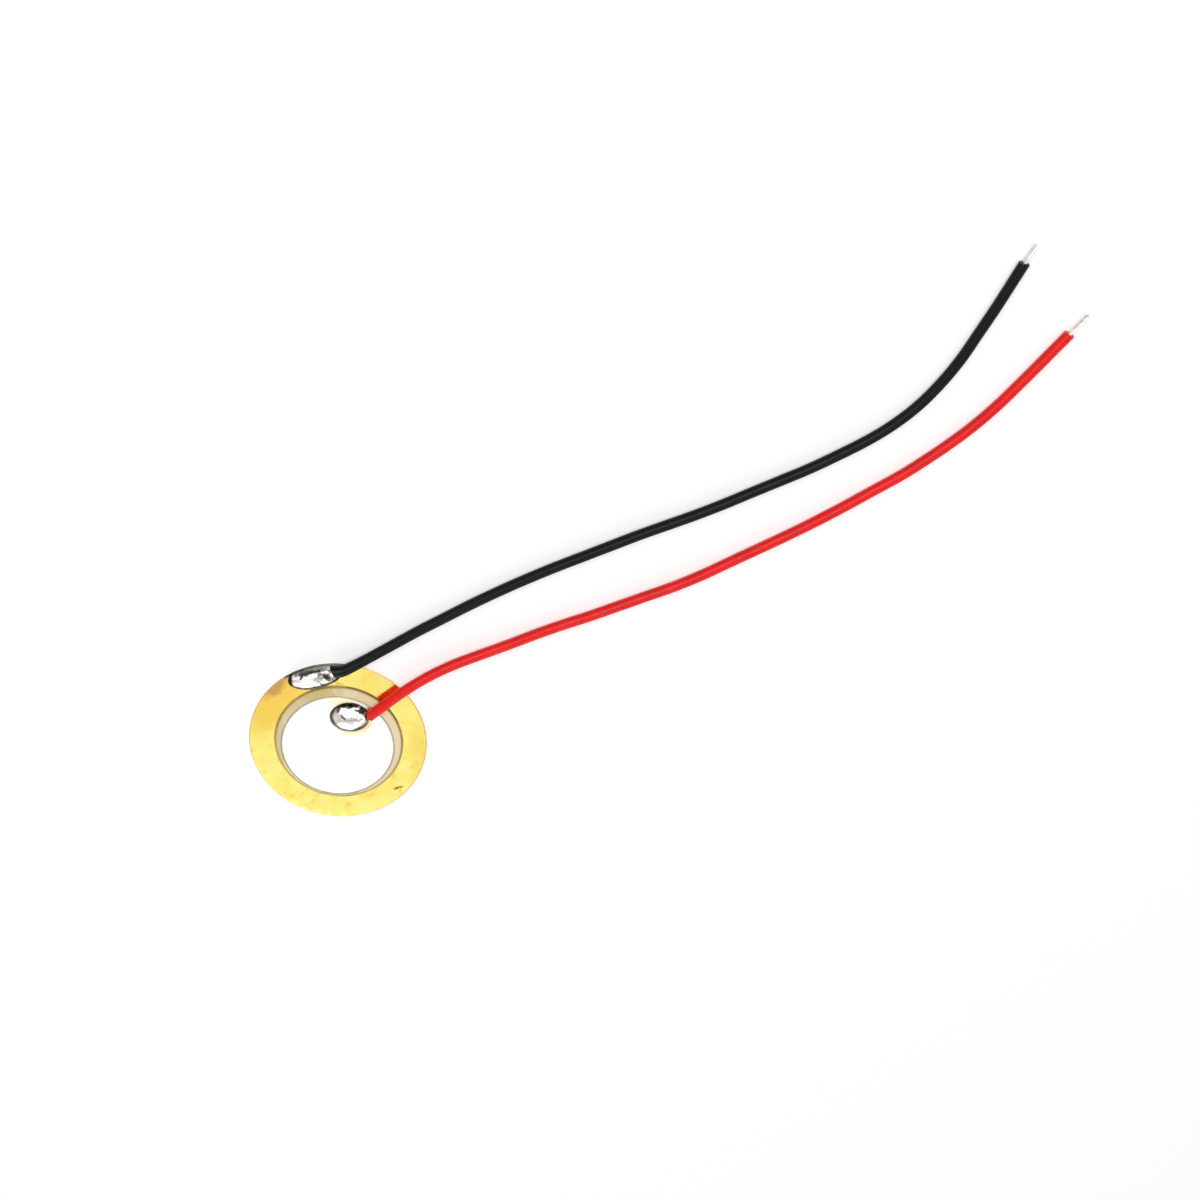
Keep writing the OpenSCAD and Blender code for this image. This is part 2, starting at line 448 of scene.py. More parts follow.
@dataclass(frozen=True)
class Studio:
    """A white table in soft light, with a dark side low behind the camera."""

    view: Viewpoint = Viewpoint()
    floor_side: float = 4000.0
    floor_drop: float = 0.01
    floor_cells: int = 8
    floor_tone: float = 0.86
    floor_lift: float = 0.32
    ambient: float = 0.22
    bright_level: float = 1.0
    dark_level: float = 0.1
    dark_side: Point = (0.0, 1.0, 0.0)
    dark_spread: Point = (0.45, 1.0, 1.5)
    dark_edge: Pair = (0.81, 0.93)
    clip: Pair = (0.01, 20.0)
    lights: tuple[SoftBox, ...] = (
        SoftBox("key_light", (30.0, 255.0, 510.0), 520.0, 2.2),
        SoftBox("side_light", (-120.0, -480.0, 220.0), 380.0, 0.95),
    )

    def camera(self) -> None:
        """Makes the camera the scene renders from."""
        data = bpy.data.cameras.new("camera")
        data.sensor_fit = "HORIZONTAL"
        data.sensor_width = self.view.sensor
        data.lens = self.view.lens
        data.clip_start, data.clip_end = self.clip
        camera = put("camera", data)
        camera.matrix_world = self.view.place()
        bpy.context.scene.camera = camera

    def floor_material(self) -> Material:
        """Makes the table's white, a little brighter to the camera and in reflections.

        Returns:
            The material.
        """
        material = bpy.data.materials.new("table_white")
        material.use_nodes = True
        graph = Graph(material.node_tree)
        rays = graph.add("ShaderNodeLightPath").outputs
        seen = graph.sum_of(rays["Is Camera Ray"], rays["Is Glossy Ray"],
                            rays["Is Transmission Ray"])
        graph.fill(graph.find("BSDF_PRINCIPLED"), {
            "Base Color": (self.floor_tone,) * 3 + (1,), "Roughness": 1.0,
            "Specular IOR Level": 0.0, "Emission Color": WHITE,
            "Emission Strength": graph.maths("MULTIPLY", seen, self.floor_lift)})
        return material

    def floor(self) -> None:
        """Lays the table top just under the plate's back."""
        shape = bmesh.new()
        bmesh.ops.create_grid(shape, x_segments=self.floor_cells,
                              y_segments=self.floor_cells, size=self.floor_side / 2)
        bmesh.ops.translate(shape, vec=(0, 0, -self.floor_drop), verts=shape.verts)
        mesh = to_mesh("table_top", shape)
        mesh.materials.append(self.floor_material())
        table = put("table_top", mesh)

    def surroundings(self) -> None:
        """Lights the part from all round, white to the camera and dark behind it."""
        world = bpy.data.worlds.new("surroundings")
        bpy.context.scene.world = world
        world.use_nodes = True
        graph = Graph(world.node_tree)
        rays = graph.add("ShaderNodeLightPath").outputs
        sky = graph.add("ShaderNodeTexCoord").outputs["Generated"]
        aimed = graph.vector("NORMALIZE", graph.vector("MULTIPLY", sky, self.dark_spread))
        start, finish = self.dark_edge
        glossy = graph.ramp(graph.vector("DOT_PRODUCT", aimed, self.dark_side),
                            (start, self.bright_level), (finish, self.dark_level))
        level = graph.blend_value(rays["Is Glossy Ray"], self.ambient, glossy)
        seen = graph.sum_of(rays["Is Camera Ray"], rays["Is Transmission Ray"])
        graph.fill(graph.find("BACKGROUND"), {
            "Color": WHITE, "Strength": graph.blend_value(seen, level, 1.0)})

    def build(self) -> None:
        """Sets up the camera, the floor, the surroundings and the lights."""
        self.camera()
        self.floor()
        self.surroundings()
        for light in self.lights:
            light.hang()
        bpy.context.scene.view_settings.view_transform = "Standard"


# --- Finishes ---


@dataclass(frozen=True)
class Grain:
    """A colour laid on through noise, as on rolled or fired skins.

    The fineness is in features per metre. The contrast is where the noise starts to show
    and where it covers.
    """

    tone: Colour
    fineness: float = 400.0
    contrast: Pair = (0.35, 0.65)

    def mask(self, graph: Graph, place: NodeSocket) -> NodeSocket:
        """Gives the mask of the noise."""
        return graph.use(Mask.GRAIN, Place=place, Fineness=self.fineness,
                         Low=self.contrast[0], High=self.contrast[1])


@dataclass(frozen=True)
class Stain:
    """A ragged oval patch of another colour, in millimetres and degrees."""

    at: Point
    half_size: Point
    tone: Colour
    strength: float
    turn: float
    softness: float = 0.4
    raggedness: float = 0.3
    fineness: float = 1500.0
    outside: bool = False

    def mask(self, graph: Graph, place: NodeSocket) -> NodeSocket:
        """Draws the patch's mask.

        Args:
            graph: the finish's graph.
            place: the object coordinates.

        Returns:
            The mask of the patch, or of all that lies outside it.
        """
        made = graph.use(Mask.BLOTCH, Place=place,
                         Centre=tuple(v * MM for v in self.at),
                         Half_Size=tuple(v * MM for v in self.half_size),
                         Turn=math.radians(self.turn), Softness=self.softness,
                         Raggedness=self.raggedness, Fineness=self.fineness)
        if self.outside:
            made = graph.maths("SUBTRACT", 1.0, made)
        return graph.maths("MULTIPLY", made, self.strength)


@dataclass(frozen=True)
class EdgeLine:
    """A thin line round a centre, in another colour. Sizes are in millimetres."""

    centre: Pair
    radius: float
    width: float
    tone: Colour
    strength: float
    raggedness: float = 0.25
    above: float = -1.0

    def mask(self, graph: Graph, place: NodeSocket) -> NodeSocket:
        """Draws the line's mask.

        Args:
            graph: the finish's graph.
            place: the object coordinates.

        Returns:
            The mask of the line, on what lies above its height.
        """
        made = graph.use(Mask.RING_LINE, Place=place,
                         Centre=(self.centre[0] * MM, self.centre[1] * MM, 0.0),
                         Radius=self.radius * MM, Width=self.width * MM,
                         Raggedness=self.raggedness)
        split = graph.add("ShaderNodeSeparateXYZ")
        graph.wire(place, split.inputs[0])
        shown = graph.maths("GREATER_THAN", split.outputs["Z"], self.above * MM)
        return graph.maths("MULTIPLY", graph.maths("MULTIPLY", made, shown), self.strength)


@dataclass(frozen=True)
class Finish:
    """A finish in one tone, with grain, stains and edge lines laid over it in turn.

    The bump is in millimetres, and its fineness in features per metre.
    """

    name: str
    tone: Colour
    marks: tuple[Grain | Stain | EdgeLine, ...]
    metallic: float = 0.0
    roughness: Pair = (0.3, 0.42)
    gloss: float = 0.5
    bump: float = 0.0
    bump_fineness: float = 3000.0
    bump_contrast: Pair = (0.3, 0.7)
    stretch: Point = (1.0, 1.0, 1.0)

    def material(self) -> Material:
        """Makes the material, or gives it if it is already made.

        Returns:
            The material, whose colour, roughness and bump follow Object coordinates.
        """
        known = bpy.data.materials.get(self.name)
        if known:
            return known
        material = bpy.data.materials.new(self.name)
        material.use_nodes = True
        graph = Graph(material.node_tree)
        place = graph.add("ShaderNodeTexCoord").outputs["Object"]
        paint = self.tone
        for mark in self.marks:
            paint = graph.blend(mark.mask(graph, place), paint, mark.tone)
        drawn = graph.add("ShaderNodeMapping")
        graph.fill(drawn, {"Vector": place, "Scale": self.stretch})
        relief = Grain(self.tone, self.bump_fineness, self.bump_contrast).mask(
            graph, drawn.outputs[0])
        surface = graph.find("BSDF_PRINCIPLED")
        graph.fill(surface, {
            "Base Color": paint, "Roughness": graph.blend_value(relief, *self.roughness),
            "Metallic": self.metallic, "Specular IOR Level": self.gloss})
        if self.bump:
            bump = graph.add("ShaderNodeBump")
            graph.fill(bump, {"Distance": self.bump * MM, "Strength": 1.0,
                              "Height": relief})
            graph.wire(bump.outputs[0], surface.inputs["Normal"])
        return material


PALE_BRASS = colour(253, 243, 142)
GOLD_BRASS = colour(253, 237, 127)
ORANGE_BRASS = colour(247, 208, 92)
BROWN_MARK = colour(203, 160, 92)
FLUX = colour(255, 238, 182)
# Tinned rim by the plate joint, painted dark as a reflection of the dark surroundings.
TINNED_AND_DARK_REFLECTION = colour(92, 92, 84)
# Painted highlight on the solder.
SOLDER_PAINTED_HIGHLIGHT = colour(254, 254, 254)
SOLDER_GREY = colour(228, 221, 217)
SOLDER_PINK = colour(212, 202, 196)
# Painted reflection and shade on the solder, along with its oxide and flux.
SOLDER_DARK_REFLECTION_AND_OXIDE = colour(40, 37, 34)
SOLDER_BROWN_SHADE_AND_RESIDUE = colour(64, 52, 38)
SOLDER_GREEN_REFLECTION_AND_OXIDE = colour(158, 170, 158)

# After its tone, a stain has its strength, turn, softness, raggedness and fineness.
# An edge line has its radius and width before its tone, and its strength after it.

BRASS = Finish("rolled_brass", PALE_BRASS, (
    Grain(GOLD_BRASS, 420, (0.38, 0.62)), Grain(ORANGE_BRASS, 900, (0.54, 0.80)),
    # Oranger patches towards the top and the sides, and a brown heat stain by the plate joint.
    Stain((-7.2, 5.2, 0.2), (2.8, 5.2, 2), ORANGE_BRASS, 0.95, -40, 0.6, 0.25, 350),
    Stain((4.5, 7.6, 0.2), (4.2, 2.6, 2), ORANGE_BRASS, 0.3, -30, 0.6, 0.3, 400),
    Stain((9, -1, 0.2), (1, 3.5, 2), ORANGE_BRASS, 0.5, 0, 0.6, 0.4, 500),
    Stain((-6.7, 7, 0.2), (1.8, 0.8, 1), BROWN_MARK, 0.95, 48, 0.5, 0.35, 900),
    # A scratch, and the bright metal beside it.
    Stain((6.72, -5.95, 0.2), (0.5, 0.16, 0.1), colour(150, 104, 36), 0.95, 24, 0.5, 0.5, 3000),
    Stain((6.95, -6.25, 0.2), (0.12, 0.4, 0.1), ORANGE_BRASS, 0.9, 10, 0.4, 0.5, 3000),
    # A thin darker line on the brass beside the adhesive bead, painted shade next to the bead
    # as well as the adhesive's edge; and the sheared rim.
    EdgeLine((0.1, 0), 7.2, 0.12, colour(190, 144, 66), 0.4, above=0.1),
    EdgeLine((0, 0), 10, 0.12, colour(214, 166, 122), 0.8),
    # Dark grey over the rim by the plate joint, where the joint has tinned it, with painted
    # reflection of the dark surroundings darkening it; and a brown spot just below the black
    # lead's end.
    Stain((0.1, 9.95, 0.2), (1.5, 0.5, 0.18), TINNED_AND_DARK_REFLECTION, 0.97, 0, 0.2, 0.2),
    Stain((-2.5, 9.72, 0.2), (1.9, 0.5, 0.18), TINNED_AND_DARK_REFLECTION, 0.97, 15, 0.2, 0.2),
    Stain((-4.7, 8.82, 0.2), (1.3, 0.46, 0.18), TINNED_AND_DARK_REFLECTION, 0.97, 28, 0.2, 0.2),
    Stain((0.3, 7.48, 0.2), (0.4, 0.16, 0.1), BROWN_MARK, 0.6, -4, 0.5, 0.5, 2500),
), metallic=1, roughness=(0.10, 0.17), bump=0.003, bump_fineness=1500,
    stretch=(1, 0.3, 1))
ADHESIVE = Finish("cured_adhesive", colour(186, 146, 74), (
    Grain(colour(206, 168, 96), 900),
    Stain((4.8, 5.6, 0.3), (4.2, 2.4, 1), colour(112, 78, 36), 0.9, -42),
), roughness=(0.4, 0.5), gloss=0.25, bump=0.01, bump_fineness=2500)
CERAMIC = Finish("fired_ceramic", colour(255, 238, 194), (
    Grain(colour(248, 228, 182), 350), Grain(colour(204, 186, 138), 5000, (0.6, 0.8)),
    Stain((-2.8, 6.4, 0.4), (3.6, 1.4, 1), colour(212, 188, 118), 0.8, 18, 0.6),
    Stain((-5, 4.8, 0.4), (1.4, 2.6, 1), colour(232, 214, 168), 0.7, -45, 0.5),
    Stain((-6.9, 0.5, 0.4), (1, 4.5, 1), colour(222, 206, 166), 0.7, 0, 0.5),
    Stain((0, -6.8, 0.4), (4.6, 0.22, 1), colour(170, 150, 106), 0.3, 0, 0.5),
    EdgeLine((0.1, 0), 7.08, 0.1, colour(160, 126, 70), 0.6),
    EdgeLine((0, -0.45), 6.33, 0.11, colour(146, 132, 98), 0.7),
), roughness=(0.55, 0.65), gloss=0.2, bump=0.002, bump_fineness=6000)
SILVER = Finish("fired_silver", colour(245, 245, 243), (
    Grain(colour(241, 241, 238), 700),
    Stain((1.45, 3.25, 0.4), (2.5, 2.15, 1), FLUX, 0.35, 2, 0.12, 0.1),
    Stain((0.2, 5.3, 0.4), (1.3, 0.4, 1), FLUX, 0.8, 12, 0.5),
    Stain((1.6, 1.3, 0.4), (1.3, 0.28, 1), FLUX, 0.8, 4, 0.5),
    Stain((3.22, 2.15, 0.4), (1, 0.3, 1), colour(246, 206, 150), 0.9, 42, 0.4, 0.35),
    EdgeLine((0, -0.45), 6.3, 0.09, colour(160, 148, 118), 0.7),
), metallic=1, roughness=(0.30, 0.40), bump=0.0015, bump_fineness=7000)
REAR_SILVER = Finish("rear_silver", colour(240, 240, 238), (
    Grain(colour(230, 230, 226), 700),), metallic=1, roughness=(0.42, 0.55))


def set_solder(name: str, *marks: Stain) -> Finish:
    """Gives bright solder with the marks of one joint: its painted highlights, reflections and
    shade, and its oxide and flux.
    """
    return Finish(name, SOLDER_GREY, (Grain(SOLDER_PINK, 900), *marks), metallic=1,
                  roughness=(0.12, 0.22), bump=0.008, bump_fineness=1400)


PLATE_SOLDER = set_solder(
    "plate_solder",
    # Painted highlights on the bright facets.
    Stain((-3.6, 7.75, 0.9), (1.3, 0.3, 0.8), colour(242, 234, 228), 0.8, 8, 0.5, 0.4),
    Stain((-4.46, 8.56, 0.97), (0.68, 0.17, 0.5), SOLDER_PAINTED_HIGHLIGHT, 0.95, 10, 0.25, 0.5, 2800),
    Stain((-2.95, 8.33, 1.38), (1.05, 0.45, 0.6), SOLDER_PAINTED_HIGHLIGHT, 0.95, -8, 0.2, 0.7, 2300),
    # Dark, brown and grey-green patches: painted reflections of the dark surroundings, along
    # with dull oxide.
    Stain((-1.2, 8.68, 1.3), (1.05, 0.66, 0.8), SOLDER_GREEN_REFLECTION_AND_OXIDE, 0.85, 10, 0.35, 0.5, 2500),
    Stain((-1.75, 9.2, 1.3), (0.42, 0.22, 0.5), SOLDER_BROWN_SHADE_AND_RESIDUE, 0.9, 15, 0.4, 0.6, 3000),
    Stain((-0.85, 8.98, 1.3), (0.5, 0.42, 0.9), SOLDER_DARK_REFLECTION_AND_OXIDE, 0.93, -20, 0.35, 0.5, 2600),
    Stain((-3.8, 8.75, 1.15), (0.14, 0.36, 0.5), SOLDER_DARK_REFLECTION_AND_OXIDE, 0.9, -16, 0.4, 0.5, 3000),
    Stain((-2.85, 9.3, 0.9), (2.1, 0.2, 0.7), SOLDER_DARK_REFLECTION_AND_OXIDE, 0.9, 17, 0.4, 0.4, 2500),
    Stain((-2.2, 9.74, 0.5), (2.4, 0.22, 0.7), SOLDER_GREEN_REFLECTION_AND_OXIDE, 0.6, 10, 0.4, 0.6, 2500),
    # A dark brown band round the foot: painted shade and reflection at the steep edge, along
    # with baked flux; and a near-black patch at the left end.
    Stain((-2.25, 8.92, 1), (2.92, 1.17, 3), SOLDER_BROWN_SHADE_AND_RESIDUE, 0.97, 19, 0.1, 0.06,
          outside=True),
    Stain((-5.3, 7.8, 0.6), (0.5, 0.9, 1.2), colour(26, 22, 22), 0.97, -8, 0.3))
ELECTRODE_SOLDER = set_solder(
    "electrode_solder",
    # Painted highlights on the bright facets, with a duller grey seam between them.
    Stain((1.4, 4.4, 1.25), (1.2, 0.4, 0.7), SOLDER_PAINTED_HIGHLIGHT, 0.95, -4, 0.2, 0.7, 2200),
    Stain((1.5, 2.75, 1.3), (1.4, 0.3, 0.7), SOLDER_PAINTED_HIGHLIGHT, 0.95, 0, 0.25, 0.6, 2000),
    Stain((1.7, 3.55, 1.45), (1.15, 0.16, 0.6), colour(176, 170, 164), 0.8, 6, 0.5, 0.6, 2500),
    # Dark and grey-green patches: painted reflections of the dark surroundings, along with dull
    # oxide.
    Stain((0.72, 3.82, 1.39), (0.36, 0.15, 0.4), SOLDER_DARK_REFLECTION_AND_OXIDE, 0.85, -28, 0.4, 0.6, 3500),
    Stain((1.3, 5.02, 0.7), (1.35, 0.28, 0.6), SOLDER_DARK_REFLECTION_AND_OXIDE, 0.9, 2, 0.3, 0.5, 2500),
    Stain((0.2, 4.55, 0.9), (0.18, 0.4, 0.6), SOLDER_DARK_REFLECTION_AND_OXIDE, 0.85, -30, 0.3, 0.5, 2500),
    Stain((2.1, 4.6, 1), (0.24, 0.2, 0.5), colour(60, 78, 62), 0.85, 0, 0.3, 0.6, 3000),
    Stain((2.85, 4.5, 0.8), (0.34, 0.45, 0.6), SOLDER_DARK_REFLECTION_AND_OXIDE, 0.95, -30, 0.3, 0.4),
    # A dark brown band round the foot: painted shade and reflection at the steep edge, along
    # with baked flux, with a thicker near-black patch towards +x and -y.
    Stain((1.5, 3.66, 1), (1.88, 1.44, 3), SOLDER_BROWN_SHADE_AND_RESIDUE, 0.97, 2, 0.1, 0.06,
          outside=True),
    Stain((2.3, 1.85, 0.8), (1, 0.36, 0.9), colour(34, 25, 18), 0.97, 24, 0.3))
BLACK_PVC = Finish("black_sheath", colour(3, 3, 5), (
    Grain(colour(6, 6, 9), 300), Grain(colour(16, 16, 20), 1800, (0.62, 0.8)),
    Stain((-0.42, 8.9, 1.45), (0.3, 0.5, 0.6), colour(150, 146, 136), 0.9, 20, 0.3, 0.4, 2500),
), roughness=(0.26, 0.34), gloss=0.16, bump=0.004, bump_fineness=1200)
RED_PVC = Finish("red_sheath", colour(250, 8, 4), (
    Grain(colour(236, 3, 2), 300), Grain(colour(252, 40, 30), 1800, (0.6, 0.8)),
), gloss=0.4, bump=0.004, bump_fineness=1200)
TINNED_COPPER = Finish("tinned_strand", colour(236, 233, 226), (
    Grain(colour(204, 196, 184), 1500), Grain(colour(190, 150, 118), 2600, (0.66, 0.82)),
), metallic=1, roughness=(0.18, 0.34), bump=0.004, bump_fineness=4000)


# --- Making a piece ---

MERGE = 1e-5


def wander(at: Vector, fineness: float, seed: float = 0.0) -> float:
    """Gives smooth noise between about -1 and 1, with features of 1 / fineness mm."""
    return noise.noise(at * fineness + Vector((seed, seed * 0.7, -seed)))


@dataclass(frozen=True)
class Waver:
    """Smooth unevenness of a surface: its depth, its features per millimetre and its seed.

    The depth is in millimetres or a share of a size. Still is the level of the noise at
    which the surface doesn't stray.
    """

    depth: float
    fineness: float
    seed: float = 0.0
    still: float = 0.0

    def at(self, place: Vector) -> float:
        """Gives how far the surface strays at a place."""
        return self.depth * (wander(place, self.fineness, self.seed) - self.still)

    def bite(self, place: Vector) -> float:
        """Gives the same where it is above zero, as where a chip has gone."""
        return max(0.0, self.at(place))


def complete(name: str, shape: BMesh, finish: Finish, node: str,
             sharp: float = 40.0) -> Object:
    """Turns a shape in millimetres into a finished piece on the part.

    Args:
        name: the piece's name.
        shape: its mesh, which is used up.
        finish: its finish.
        node: the CAD node it stands for.
        sharp: the angle, in degrees, above which an edge stays sharp.

    Returns:
        The piece.
    """
    bmesh.ops.remove_doubles(shape, verts=shape.verts, dist=MERGE)
    bmesh.ops.recalc_face_normals(shape, faces=shape.faces)
    for face in shape.faces:
        face.smooth = True
    mesh = to_mesh(name, shape)
    mesh.set_sharp_from_angle(angle=math.radians(sharp))
    mesh.materials.append(finish.material())
    piece = put(name, mesh)
    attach(piece, "root")
    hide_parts(node)
    LOG.info("%s: %d faces", name, len(mesh.polygons))
    return piece


def turned(profile: Iterable[Pair], steps: int, centre: Pair = (0.0, 0.0)) -> BMesh:
    """Spins a profile of (radius, height) points into a closed body.

    Args:
        profile: the points, from the axis at the bottom to the axis at the top.
        steps: how many steps make the full turn.
        centre: where the axis stands.

    Returns:
        The body's mesh.
    """
    shape = bmesh.new()
    points = [shape.verts.new((centre[0] + r, centre[1], z)) for r, z in profile]
    edges = [shape.edges.new(pair) for pair in zip(points, points[1:])]
    bmesh.ops.spin(shape, geom=points + edges, cent=(*centre, 0), axis=UP,
                   dvec=(0, 0, 0), angle=math.tau, steps=steps, use_merge=True,
                   use_duplicate=False)
    bmesh.ops.remove_doubles(shape, verts=shape.verts, dist=MERGE)
    return shape


def reshape_edge(shape: BMesh, centre: Pair, inner: float,
                 reach: Callable[[Vector, Vector], float]) -> None:
    """Moves the outer vertices of a turned body in or out.

    Args:
        shape: the body.
        centre: where its axis stands.
        inner: the radius past which vertices move.
        reach: a vertex's new radius, from its level offset from the axis and its place.
    """
    for vertex in shape.verts:
        offset = Vector((vertex.co.x - centre[0], vertex.co.y - centre[1], 0))
        if offset.length > inner:
            out = offset * (reach(offset, vertex.co) / offset.length)
            vertex.co.x, vertex.co.y = centre[0] + out.x, centre[1] + out.y


def quarter(rows: int) -> list[Pair]:
    """Gives the cosine and sine of even steps through a right angle."""
    angles = (math.radians(90 * k / rows) for k in range(rows + 1))
    return [(math.cos(a), math.sin(a)) for a in angles]


@dataclass(frozen=True)
class Station:
    """One place along a route: where it is, its axes, its radius and how far along it is."""

    at: Vector
    along: Vector
    side: Vector
    rise: Vector
    radius: float
    run: float

    def around(self, angle: float) -> Vector:
        """Gives the direction across the route at an angle from its side."""
        return self.side * math.cos(angle) + self.rise * math.sin(angle)


def stations(points: list[Vector], radii: list[float]) -> list[Station]:
    """Puts level axes on a line of points.

    Args:
        points: the line, in millimetres.
        radii: a radius for each point.

    Returns:
        A station at each point.
    """
    made, run = [], 0.0
    for i, at in enumerate(points):
        run += (at - points[i - 1]).length if i else 0.0
        along = (points[min(i + 1, len(points) - 1)] - points[max(i - 1, 0)]).normalized()
        side = UP.cross(along).normalized()
        made.append(Station(at, along, side, along.cross(side), radii[i], run))
    return made


def ring_edges(ring: list[BMVert]) -> list[bmesh.types.BMEdge]:
    """Finds the edges that join the vertices of a ring.

    Args:
        ring: the vertices.

    Returns:
        The edges, each of them once.
    """
    members = set(ring)
    return list(dict.fromkeys(e for v in ring for e in v.link_edges
                              if e.other_vert(v) in members))


def grow(shape: BMesh, ring: list[BMVert]) -> list[BMVert]:
    """Extrudes a ring in place.

    Args:
        shape: the mesh that it belongs to.
        ring: its vertices.

    Returns:
        The new ring's vertices, in the same order.
    """
    made = bmesh.ops.extrude_edge_only(shape, edges=ring_edges(ring))["geom"]
    fresh = {v for v in made if isinstance(v, BMVert)}
    return [next(e.other_vert(v) for e in v.link_edges if e.other_vert(v) in fresh)
            for v in ring]


def close(shape: BMesh, ring: list[BMVert]) -> None:
    """Fills a ring of vertices with a face."""
    bmesh.ops.contextual_create(shape, geom=ring_edges(ring))


def tube(shape: BMesh, line: list[Station], sides: int,
         reach: Callable[[Station, float], float]) -> tuple[list[BMVert], list[BMVert]]:
    """Draws a ring along a line of stations.

    Args:
        shape: the mesh that the tube is added to.
        line: the stations.
        sides: how many sides the tube has.
        reach: the surface's distance from the centre, at a station and an angle.

    Returns:
        The first ring's vertices and the last one's.
    """
    ring = bmesh.ops.create_circle(shape, cap_ends=False, segments=sides, radius=1)["verts"]
    first = ring
    for i, station in enumerate(line):
        if i:
            ring = grow(shape, ring)
        for k, vertex in enumerate(ring):
            angle = math.tau * k / sides
            vertex.co = station.at + station.around(angle) * reach(station, angle)
    return first, ring


# --- The disc ---


@dataclass(frozen=True)
class Disc:
    """The brass plate with its bonded ceramic and printed electrodes, in millimetres."""

    plate_r: float = 10.0
    plate_t: float = 0.2
    edge_roll: float = 0.06
    burr: tuple[Pair, Pair] = ((0.03, 0.0), (0.008, 0.004))
    rim_waver: Waver = Waver(0.006, 1.6, still=1.0)
    element_r: float = 7.1
    element_t: float = 0.18
    element_off: float = 0.1
    bond_t: float = 0.02
    bead_w: float = 0.14
    bead_wavers: tuple[Waver, Waver] = (Waver(0.35, 0.55, 3.0), Waver(0.2, 2.2, 5.0))
    bead_most: float = 1.35
    chips: Waver = Waver(0.16, 1.9, 11.0, still=0.25)
    crumbs: Waver = Waver(0.012, 6.0, 13.0)
    chip_drop: float = 0.05
    film_t: float = 0.01
    electrode_r: float = 6.3
    print_off: Pair = (-0.1, -0.45)
    print_wavers: tuple[Waver, Waver] = (Waver(0.022, 0.8, 21.0), Waver(0.014, 4.5, 23.0))
    # A nick has its x, y and depth.
    nicks: tuple[Point, ...] = ((-6.23, 3.28, 0.10), (-6.27, 1.71, 0.10), (6.48, -1.57, 0.12),
                                (-5.2, -3.6, 0.05), (2.2, -6.5, 0.05))
    nick_r: float = 0.16
    rows: int = 6
    steps: int = 288

    def ceramic_z(self) -> float:
        """Height of the ceramic's underside."""
        return self.plate_t + self.bond_t + self.film_t

    def stack_top(self) -> float:
        """Height of the front electrode's face."""
        return self.ceramic_z() + self.element_t + self.film_t

    def plate(self) -> None:
        """Blanks the plate: a rolled upper edge, a sheared wall and a small burr."""
        roll, top, flat_r = self.edge_roll, self.plate_t, 8.5
        profile = [(0.0, 0.0), *((self.plate_r - w, h) for w, h in self.burr)]
        profile += [(self.plate_r - roll * (1 - cos), top - roll * (1 - sin))
                    for cos, sin in quarter(self.rows)]
        shape = turned([*profile, (flat_r, top), (0.0, top)], self.steps)
        reshape_edge(shape, (0.0, 0.0), inner=self.plate_r - 0.05,
                     reach=lambda offset, at: offset.length + self.rim_waver.at(at))
        complete("brass_plate_dressed", shape, BRASS, "brass_plate")

    def bead(self) -> None:
        """Squeezes the adhesive out round the element in an uneven bead."""
        radius, film_top = self.element_r, self.plate_t + self.bond_t
        height = self.bond_t + self.film_t + self.element_t / 2
        profile = [(0.0, self.plate_t)]
        profile += [(radius + self.bead_w * (1 - sin), self.plate_t + height * (1 - cos))
                    for cos, sin in quarter(self.rows)]
        profile += [(radius - 0.02, film_top), (0.0, film_top)]
        shape = turned(profile, self.steps, (self.element_off, 0.0))
        broad, fine = self.bead_wavers

        def squeezed(offset: Vector, _: Vector) -> float:
            """Radius of the uneven bead."""
            flow = 1 + broad.at(offset) + fine.at(offset)
            return radius + (offset.length - radius) * min(flow, self.bead_most)

        reshape_edge(shape, (self.element_off, 0.0), inner=radius + 0.001, reach=squeezed)
        complete("adhesive_bead", shape, ADHESIVE, "bond_layer")

    def ceramic(self) -> None:
        """Slices the ceramic: a flat disc whose upper edge has crumbled a little."""
        radius, low = self.element_r, self.ceramic_z()
        high = low + self.element_t
        profile = [(0.0, low), (radius - 0.015, low), (radius, low + 0.015),
                   (radius, high - 0.03), (radius - 0.012, high - 0.009),
                   (radius - 0.03, high), (radius - 0.3, high), (0.0, high)]
        shape = turned(profile, self.steps * 2, (self.element_off, 0.0))

        def crumbled(offset: Vector, at: Vector) -> float:
            """Radius of the edge, with rare large chips and many fine ones."""
            worn = self.chips.bite(offset) + self.crumbs.bite(offset)
            return offset.length - (worn if at.z > high - self.chip_drop else 0.0)

        reshape_edge(shape, (self.element_off, 0.0), inner=radius - 0.1, reach=crumbled)
        complete("ceramic_element_dressed", shape, CERAMIC,
                 "ceramic_element", sharp=30.0)

    def front_electrode(self) -> None:
        """Prints the front electrode, with an uneven edge and the nicks the screen leaves."""
        radius, high = self.electrode_r, self.stack_top()
        low = high - self.film_t
        centre = (self.element_off + self.print_off[0], self.print_off[1])
        profile = [(0.0, low), (radius, low), (radius - 0.01, high - 0.003),
                   (radius - 0.03, high), (radius - 0.5, high), (0.0, high)]
        shape = turned(profile, self.steps * 2, centre)
        broad, fine = self.print_wavers

        def printed(offset: Vector, at: Vector) -> float:
            """Radius of the wavy, nicked edge."""
            gaps = ((depth, math.hypot(at.x - x, at.y - y)) for x, y, depth in self.nicks)
            return (offset.length + broad.at(offset) + fine.at(offset)
                    - sum(depth * math.exp(-(gap / self.nick_r) ** 2) for depth, gap in gaps))

        reshape_edge(shape, centre, inner=radius - 0.1, reach=printed)
        complete("front_electrode_dressed", shape, SILVER,
                 "front_electrode", sharp=30.0)

